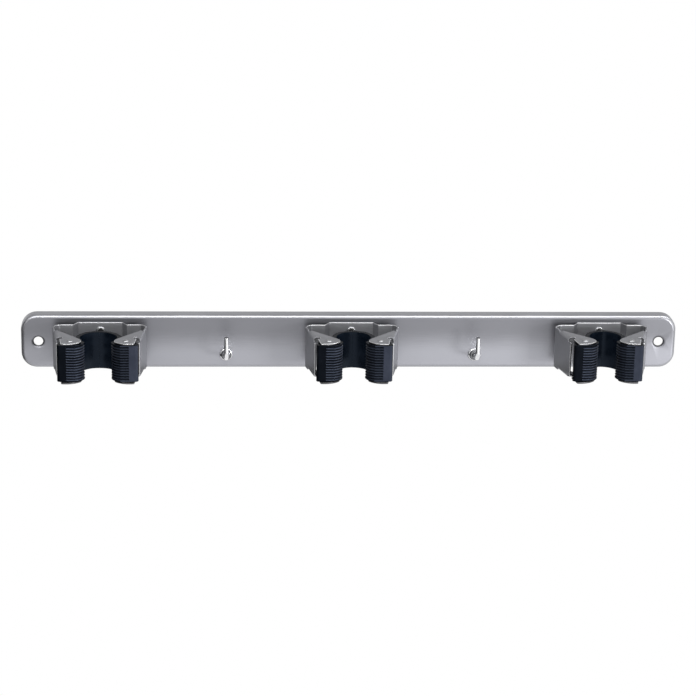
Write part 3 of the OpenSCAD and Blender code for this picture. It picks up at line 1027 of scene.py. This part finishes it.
    def close_tail(self, mesh: bpy.types.Mesh, side: Side) -> set[int]:
        """Draws the end of a claw's tail up to its neighbour's, as soft rubber meets at rest.

        Args:
            mesh: The claw's mesh.
            side: The claw's side of the clip.

        Returns:
            The indices of the tail end's vertices.
        """
        ends = {v.index for v in mesh.vertices if abs(v.co.x - self.middle) < self.tail_gap}
        for index in ends:
            mesh.vertices[index].co.x = self.middle + side.value * self.shown_gap / 2
        return ends

    def paint_claw_light_and_shade(self, piece: Piece, side: Side) -> None:
        """Paints highlights on the ribs' upper slopes, shade in their grooves, light on the seat and the right
        claws' band.

        Args:
            piece: The dressed claw.
            side: The claw's side of the clip.
        """
        to_plan, pin, nose = self.plan(side)
        floor = self.nose_radius - self.rib_depth - self.slack
        seat = Vector((0, pin.y - self.lit_seat_back))
        for polygon in piece.data.polygons:
            place, way = to_plan @ polygon.center, polygon.normal
            out = max((place.xy - nose).length, place.y - nose.y)
            ribbed = (abs(place.z) < self.ribbed_half and out > floor and place.y > nose.y - self.nose_in
                      and place.x < pin.x + self.rib_reach)
            # painted highlight on the ribs' upper slopes
            if ribbed and way.z > self.crest_slope:
                paint(piece, polygon, RIBS[side])
            # painted shade in the grooves
            elif ribbed and out < self.nose_radius - self.rib_depth / 2:
                paint(piece, polygon, Look.SHADED_GROOVE)
            elif abs(way.z) > self.crest_slope:
                continue
            # painted light on the seat
            elif (place.xy - seat).length < self.lit_seat_radius + 2 * self.slack:
                paint(piece, polygon, Look.LIT_SEAT)
            # painted light on the right claws' plain band; the left claws keep the black claw finish
            elif way.y < -self.band_slope and place.x > pin.x and place.y > pin.y:
                paint(piece, polygon, BANDS[side])

    def build_jaw(self, side: Side) -> None:
        """Builds and dresses one claw with its pin and spring.

        Args:
            side: The claw's side of the clip.
        """
        base = f"{self.word}_clip_{side.word}"
        place = self.pin_place(side)
        claw = f"{base}_claw"
        piece = self.claw_piece(claw, side)
        looks = [Look.CLAW, RIBS[side], Look.SHADED_GROOVE, Look.LIT_SEAT, BANDS[side]]
        show(piece, looks, [claw], body=claw)
        self.paint_claw_light_and_shade(piece, side)
        axle = placed_copy(self.pin.master, f"{base}_pin_dressed", place)
        show(axle, [Look.PIN], [f"{base}_pin"])
        coil = placed_copy(self.spring.master, f"{base}_spring_dressed", place)
        coil.data.materials.append(Look.SPRING.material)
        axis, rise = place.translation, self.spring.half_rise()
        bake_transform(coil)
        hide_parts(f"{base}_spring")
        LOG.info("%s: %d faces, wound between %s and %s", coil.name, len(coil.data.polygons), ROOT_BODY, claw)


@dataclass
class Hook:
    """One wire hook with its collar and nut."""

    side: Side
    x: float = 95 * MM
    y: float = -10 * MM
    z: float = -10 * MM
    wire: float = 1.75 * MM
    reach: float = 22 * MM
    rise: float = 21 * MM
    climb: float = math.radians(12)
    bend: float = 6 * MM
    root: float = 3 * MM
    back: float = 5 * MM
    sides: int = 32
    bend_steps: int = 20
    tip: float = 0.9 * MM
    tip_steps: Sequence[float] = (18, 36, 54, 70, 82)
    edge: float = 0.18 * MM
    edge_facets: int = 2
    shoulder: float = 0.5 * MM
    shoulder_facets: int = 5
    end_slope: float = 0.45
    face_slope: float = 0.93

    def wire_piece(self, name: str) -> Piece:
        """The bent wire: stud, climbing shank, bend, upright and round tip, drawn from one disc.

        Args:
            name: The piece's name.

        Returns:
            The wire in the row frame.
        """
        run = self.reach - self.root - self.bend * (1 - math.sin(self.climb))
        shank = Vector((0, -run, run * math.tan(self.climb)))
        start = Vector((0, -self.root, 0)) + shank
        centre = start + self.bend * Vector((0, math.sin(self.climb), math.cos(self.climb)))
        foot = centre + Vector((0, -self.bend, 0))
        tip = self.rise - self.tip
        piece = disc(name, self.sides, self.wire, turn=UPRIGHT)
        with editing(piece):
            bpy.ops.transform.translate(value=(0, self.back, 0))
            extrude((0, -self.back - self.root, 0))
            extrude(shank)
            bpy.ops.transform.rotate(value=self.climb, orient_axis="X", center_override=tuple(start))
            bpy.ops.mesh.spin(steps=self.bend_steps, angle=math.pi / 2 - self.climb, center=tuple(centre),
                              axis=(1, 0, 0))
            extrude((0, 0, tip - foot.z))
            old = (self.wire, tip)
            for angle in map(math.radians, self.tip_steps):
                new = (self.wire * math.cos(angle), tip + self.tip * math.sin(angle))
                draw_ring(old, new, foot.y)
                old = new
            face_outwards()
        piece.data.transform(Matrix.Translation((self.side.value * self.x, self.y, self.z)))
        shade(piece)
        return piece

    def build(self) -> None:
        """Builds and dresses the hook, its collar and its nut."""
        base = f"{self.side.word}_hook"
        wire = self.wire_piece(f"{base}_wire")
        show(wire, [Look.WIRE, Look.DARK_TIP_TOP], [base])
        # the tip's upward faces get a darker finish
        for polygon in wire.data.polygons:
            if polygon.center.z > self.z + self.rise - self.tip and polygon.normal.z > self.end_slope:
                paint(wire, polygon, Look.DARK_TIP_TOP)
        ring, block = merged_copy(f"{base}_collar"), merged_copy(f"{base}_nut")
        round_edges(ring, self.shoulder, self.shoulder_facets)
        round_edges(block, self.edge, self.edge_facets)
        show(ring, [Look.COLLAR, Look.WIRE], [f"{base}_collar"])
        axis = Vector((self.side.value * self.x, self.z))
        outer = max((vertex.co.xz - axis).length for vertex in ring.data.vertices) - 2 * self.shoulder
        # the collar's outer shoulder keeps the hook's bright plating; its face keeps the painted dark
        # reflection
        for polygon in ring.data.polygons:
            if polygon.normal.y > -self.face_slope and (polygon.center.xz - axis).length > outer:
                paint(ring, polygon, Look.WIRE)
        show(block, [Look.NUT], [f"{base}_nut"])


# Studio


def staged_sheet(name: str, matrix: Matrix) -> tuple[Piece, Tree]:
    """Sets up a flat sheet that isn't part of the rack.

    Args:
        name: The name of the sheet and its material.
        matrix: What shapes and places a sheet of 1 m by 1 m.

    Returns:
        The sheet and its material's node tree.
    """
    bpy.ops.object.select_all(action="DESELECT")
    bpy.ops.mesh.primitive_plane_add(size=1)
    sheet = bpy.context.active_object
    sheet.name = name
    sheet.data.transform(matrix)
    material = bpy.data.materials.new(name)
    material.use_nodes = True
    sheet.data.materials.append(material)
    return sheet, material.node_tree


@dataclass(frozen=True)
class Softbox:
    """A soft rectangular lamp that points at the rack."""

    name: str
    place: Triple
    width: float
    height: float
    power: float

    def build(self) -> None:
        """Hangs the lamp."""
        lamp = bpy.data.lights.new(self.name, "AREA")
        lamp.shape = "RECTANGLE"
        lamp.size, lamp.size_y = self.width, self.height
        lamp.energy = self.power
        holder = bpy.data.objects.new(self.name, lamp)
        bpy.context.collection.objects.link(holder)
        holder.location = self.place
        holder.rotation_euler = (-Vector(self.place)).to_track_quat("-Z", "Y").to_euler()


@dataclass(frozen=True)
class Card:
    """A plain grey card beside the set that only the metal's reflections show."""

    name: str
    place: Triple
    facing: Triple
    width: float
    height: float
    grey: float

    def build(self) -> None:
        """Sets the card up."""
        turn = Vector(self.facing).to_track_quat("Z", "Y").to_matrix().to_4x4()
        size = Matrix.Diagonal((self.width, self.height, 1, 1))
        card, tree = staged_sheet(self.name, Matrix.Translation(self.place) @ turn @ size)
        even = add_node(tree, "ShaderNodeEmission", {"Color": scaled(WHITE, self.grey)})
        put(tree, tree.nodes["Material Output"].inputs["Surface"], even.outputs["Emission"])
        card.visible_camera = card.visible_diffuse = card.visible_shadow = False


@dataclass
class Studio:
    """Floor, white surroundings, lamps, cards and camera."""

    floor_drop: float = -0.6
    floor_size: float = 12.0
    floor_colour: Triple = (0.85, 0.85, 0.85)
    floor_roughness: float = 0.9
    ambient: float = 0.75
    lamps: Sequence[Softbox] = (
        Softbox("top strip", (0.2, -0.4, 0.95), 2.6, 0.2, 16.0),
        Softbox("key", (1.5, -2.0, 0.12), 0.6, 0.6, 24.0),
    )
    cards: Sequence[Card] = (
        Card("back card", (0.0, 1.6, 0.6), (0, -1, -0.2), 4.0, 1.2, 0.58),
        Card("left floor card", (-1.2, -0.75, -0.34), (0, 0, 1), 1.3, 1.7, 0.06),
        Card("right floor card", (1.75, -0.3, -0.34), (0, 0, 1), 1.3, 0.9, 0.06),
        Card("right white card", (0.95, -1.05, -0.33), (0, 0, 1), 1.1, 1.3, 1.7),
        Card("ceiling card", (0.0, 0.45, 1.0), (0, 0, -1), 4.0, 2.1, 0.45),
        Card("low back card", (-0.5, 1.2, -0.32), (0, 0, 1), 2.2, 1.4, 0.06),
        Card("low left card", (-1.1, 0.28, -0.32), (0, 0, 1), 1.5, 0.5, 0.06),
        Card("left card", (-1.2, -0.35, 0.15), (1, 0, 0), 1.2, 0.9, 0.06),
    )
    camera_place: Triple = (-0.106043, -1.678355, 0.559882)
    camera_turn: Triple = (3.565, 18.671, 1.162)
    camera_clip: Pair = (0.05, 60.0)
    focal_pixels: float = 2311.14
    frame_pixels: float = 696.0
    sensor: float = 36.0

    def white_for_sight(self, tree: Tree, plain: Socket, white: Socket) -> Socket:
        """Shows white to camera, glossy and transmission rays, and a plain surface to the rest.

        Args:
            tree: The node tree.
            plain: The shader for the light that falls on the object.
            white: The shader that is seen.

        Returns:
            The mixed shader.
        """
        path = tree.nodes.new("ShaderNodeLightPath")
        seen = path.outputs[Ray.CAMERA.value]
        for ray in (Ray.GLOSSY, Ray.TRANSMISSION):
            inputs = {0: seen, 1: path.outputs[ray.value]}
            seen = add_node(tree, "ShaderNodeMath", inputs, operation="MAXIMUM").outputs["Value"]
        return add_node(tree, "ShaderNodeMixShader", {0: seen, 1: plain, 2: white}).outputs["Shader"]

    def build_world(self) -> None:
        """Surrounds the set with white and a dimmer even light."""
        world = bpy.data.worlds.new("surroundings")
        bpy.context.scene.world = world
        world.use_nodes = True
        tree = world.node_tree
        plain = tree.nodes["Background"]
        put(tree, plain.inputs["Color"], WHITE)
        put(tree, plain.inputs["Strength"], self.ambient)
        white = add_node(tree, "ShaderNodeBackground", {"Color": WHITE, "Strength": 1.0})
        shader = self.white_for_sight(tree, plain.outputs["Background"], white.outputs["Background"])
        put(tree, tree.nodes["World Output"].inputs["Surface"], shader)

    def build_floor(self) -> None:
        """Lays the pale floor well below the rack."""
        size = Matrix.Diagonal((self.floor_size, self.floor_size, 1, 1))
        _, tree = staged_sheet("floor", Matrix.Translation((0, 0, self.floor_drop)) @ size)
        plain = tree.nodes["Principled BSDF"]
        put(tree, plain.inputs["Base Color"], self.floor_colour)
        put(tree, plain.inputs["Roughness"], self.floor_roughness)
        white = tree.nodes.new("ShaderNodeEmission")
        shader = self.white_for_sight(tree, plain.outputs["BSDF"], white.outputs["Emission"])
        put(tree, tree.nodes["Material Output"].inputs["Surface"], shader)

    def build_camera(self) -> None:
        """Sets the camera at the viewing angle of the photograph."""
        yaw, pitch, roll = map(math.radians, self.camera_turn)
        data = bpy.data.cameras.new("camera")
        data.sensor_width = self.sensor
        data.lens = self.sensor * self.focal_pixels / self.frame_pixels
        data.clip_start, data.clip_end = self.camera_clip
        camera = bpy.data.objects.new("camera", data)
        bpy.context.collection.objects.link(camera)
        camera.matrix_world = (
            Matrix.Translation(self.camera_place) @ Matrix.Rotation(-yaw, 4, "Z")
            @ Matrix.Rotation(math.pi / 2 - pitch, 4, "X") @ Matrix.Rotation(roll, 4, "Z")
        )
        bpy.context.scene.camera = camera

    def build(self) -> None:
        """Builds the whole set."""
        self.build_world()
        self.build_floor()
        for part in (*self.lamps, *self.cards):
            part.build()
        self.build_camera()
        bpy.context.scene.view_settings.view_transform = "Standard"


def build_clips() -> None:
    """Builds the three clips from the shapes that they share."""
    pin, rivet, spring = PinShape(), RivetShape(), SpringShape()
    for word, middle, lean_set in (("left", -190 * MM, -2.5), ("centre", 0.0, 0.0), ("right", 190 * MM, 3.0)):
        Clip(word, middle, lean_set, pin, rivet, spring).build()
    for master in (pin.master, spring.master, rivet.body, rivet.stub):
        bpy.data.objects.remove(master)


def main() -> None:
    """Builds the rack and its studio in order."""
    logging.basicConfig(level=logging.INFO, format="%(message)s")
    Studio().build()
    Wall().build()
    build_clips()
    for side in Side:
        Hook(side).build()


if __name__ == "__main__":
    main()
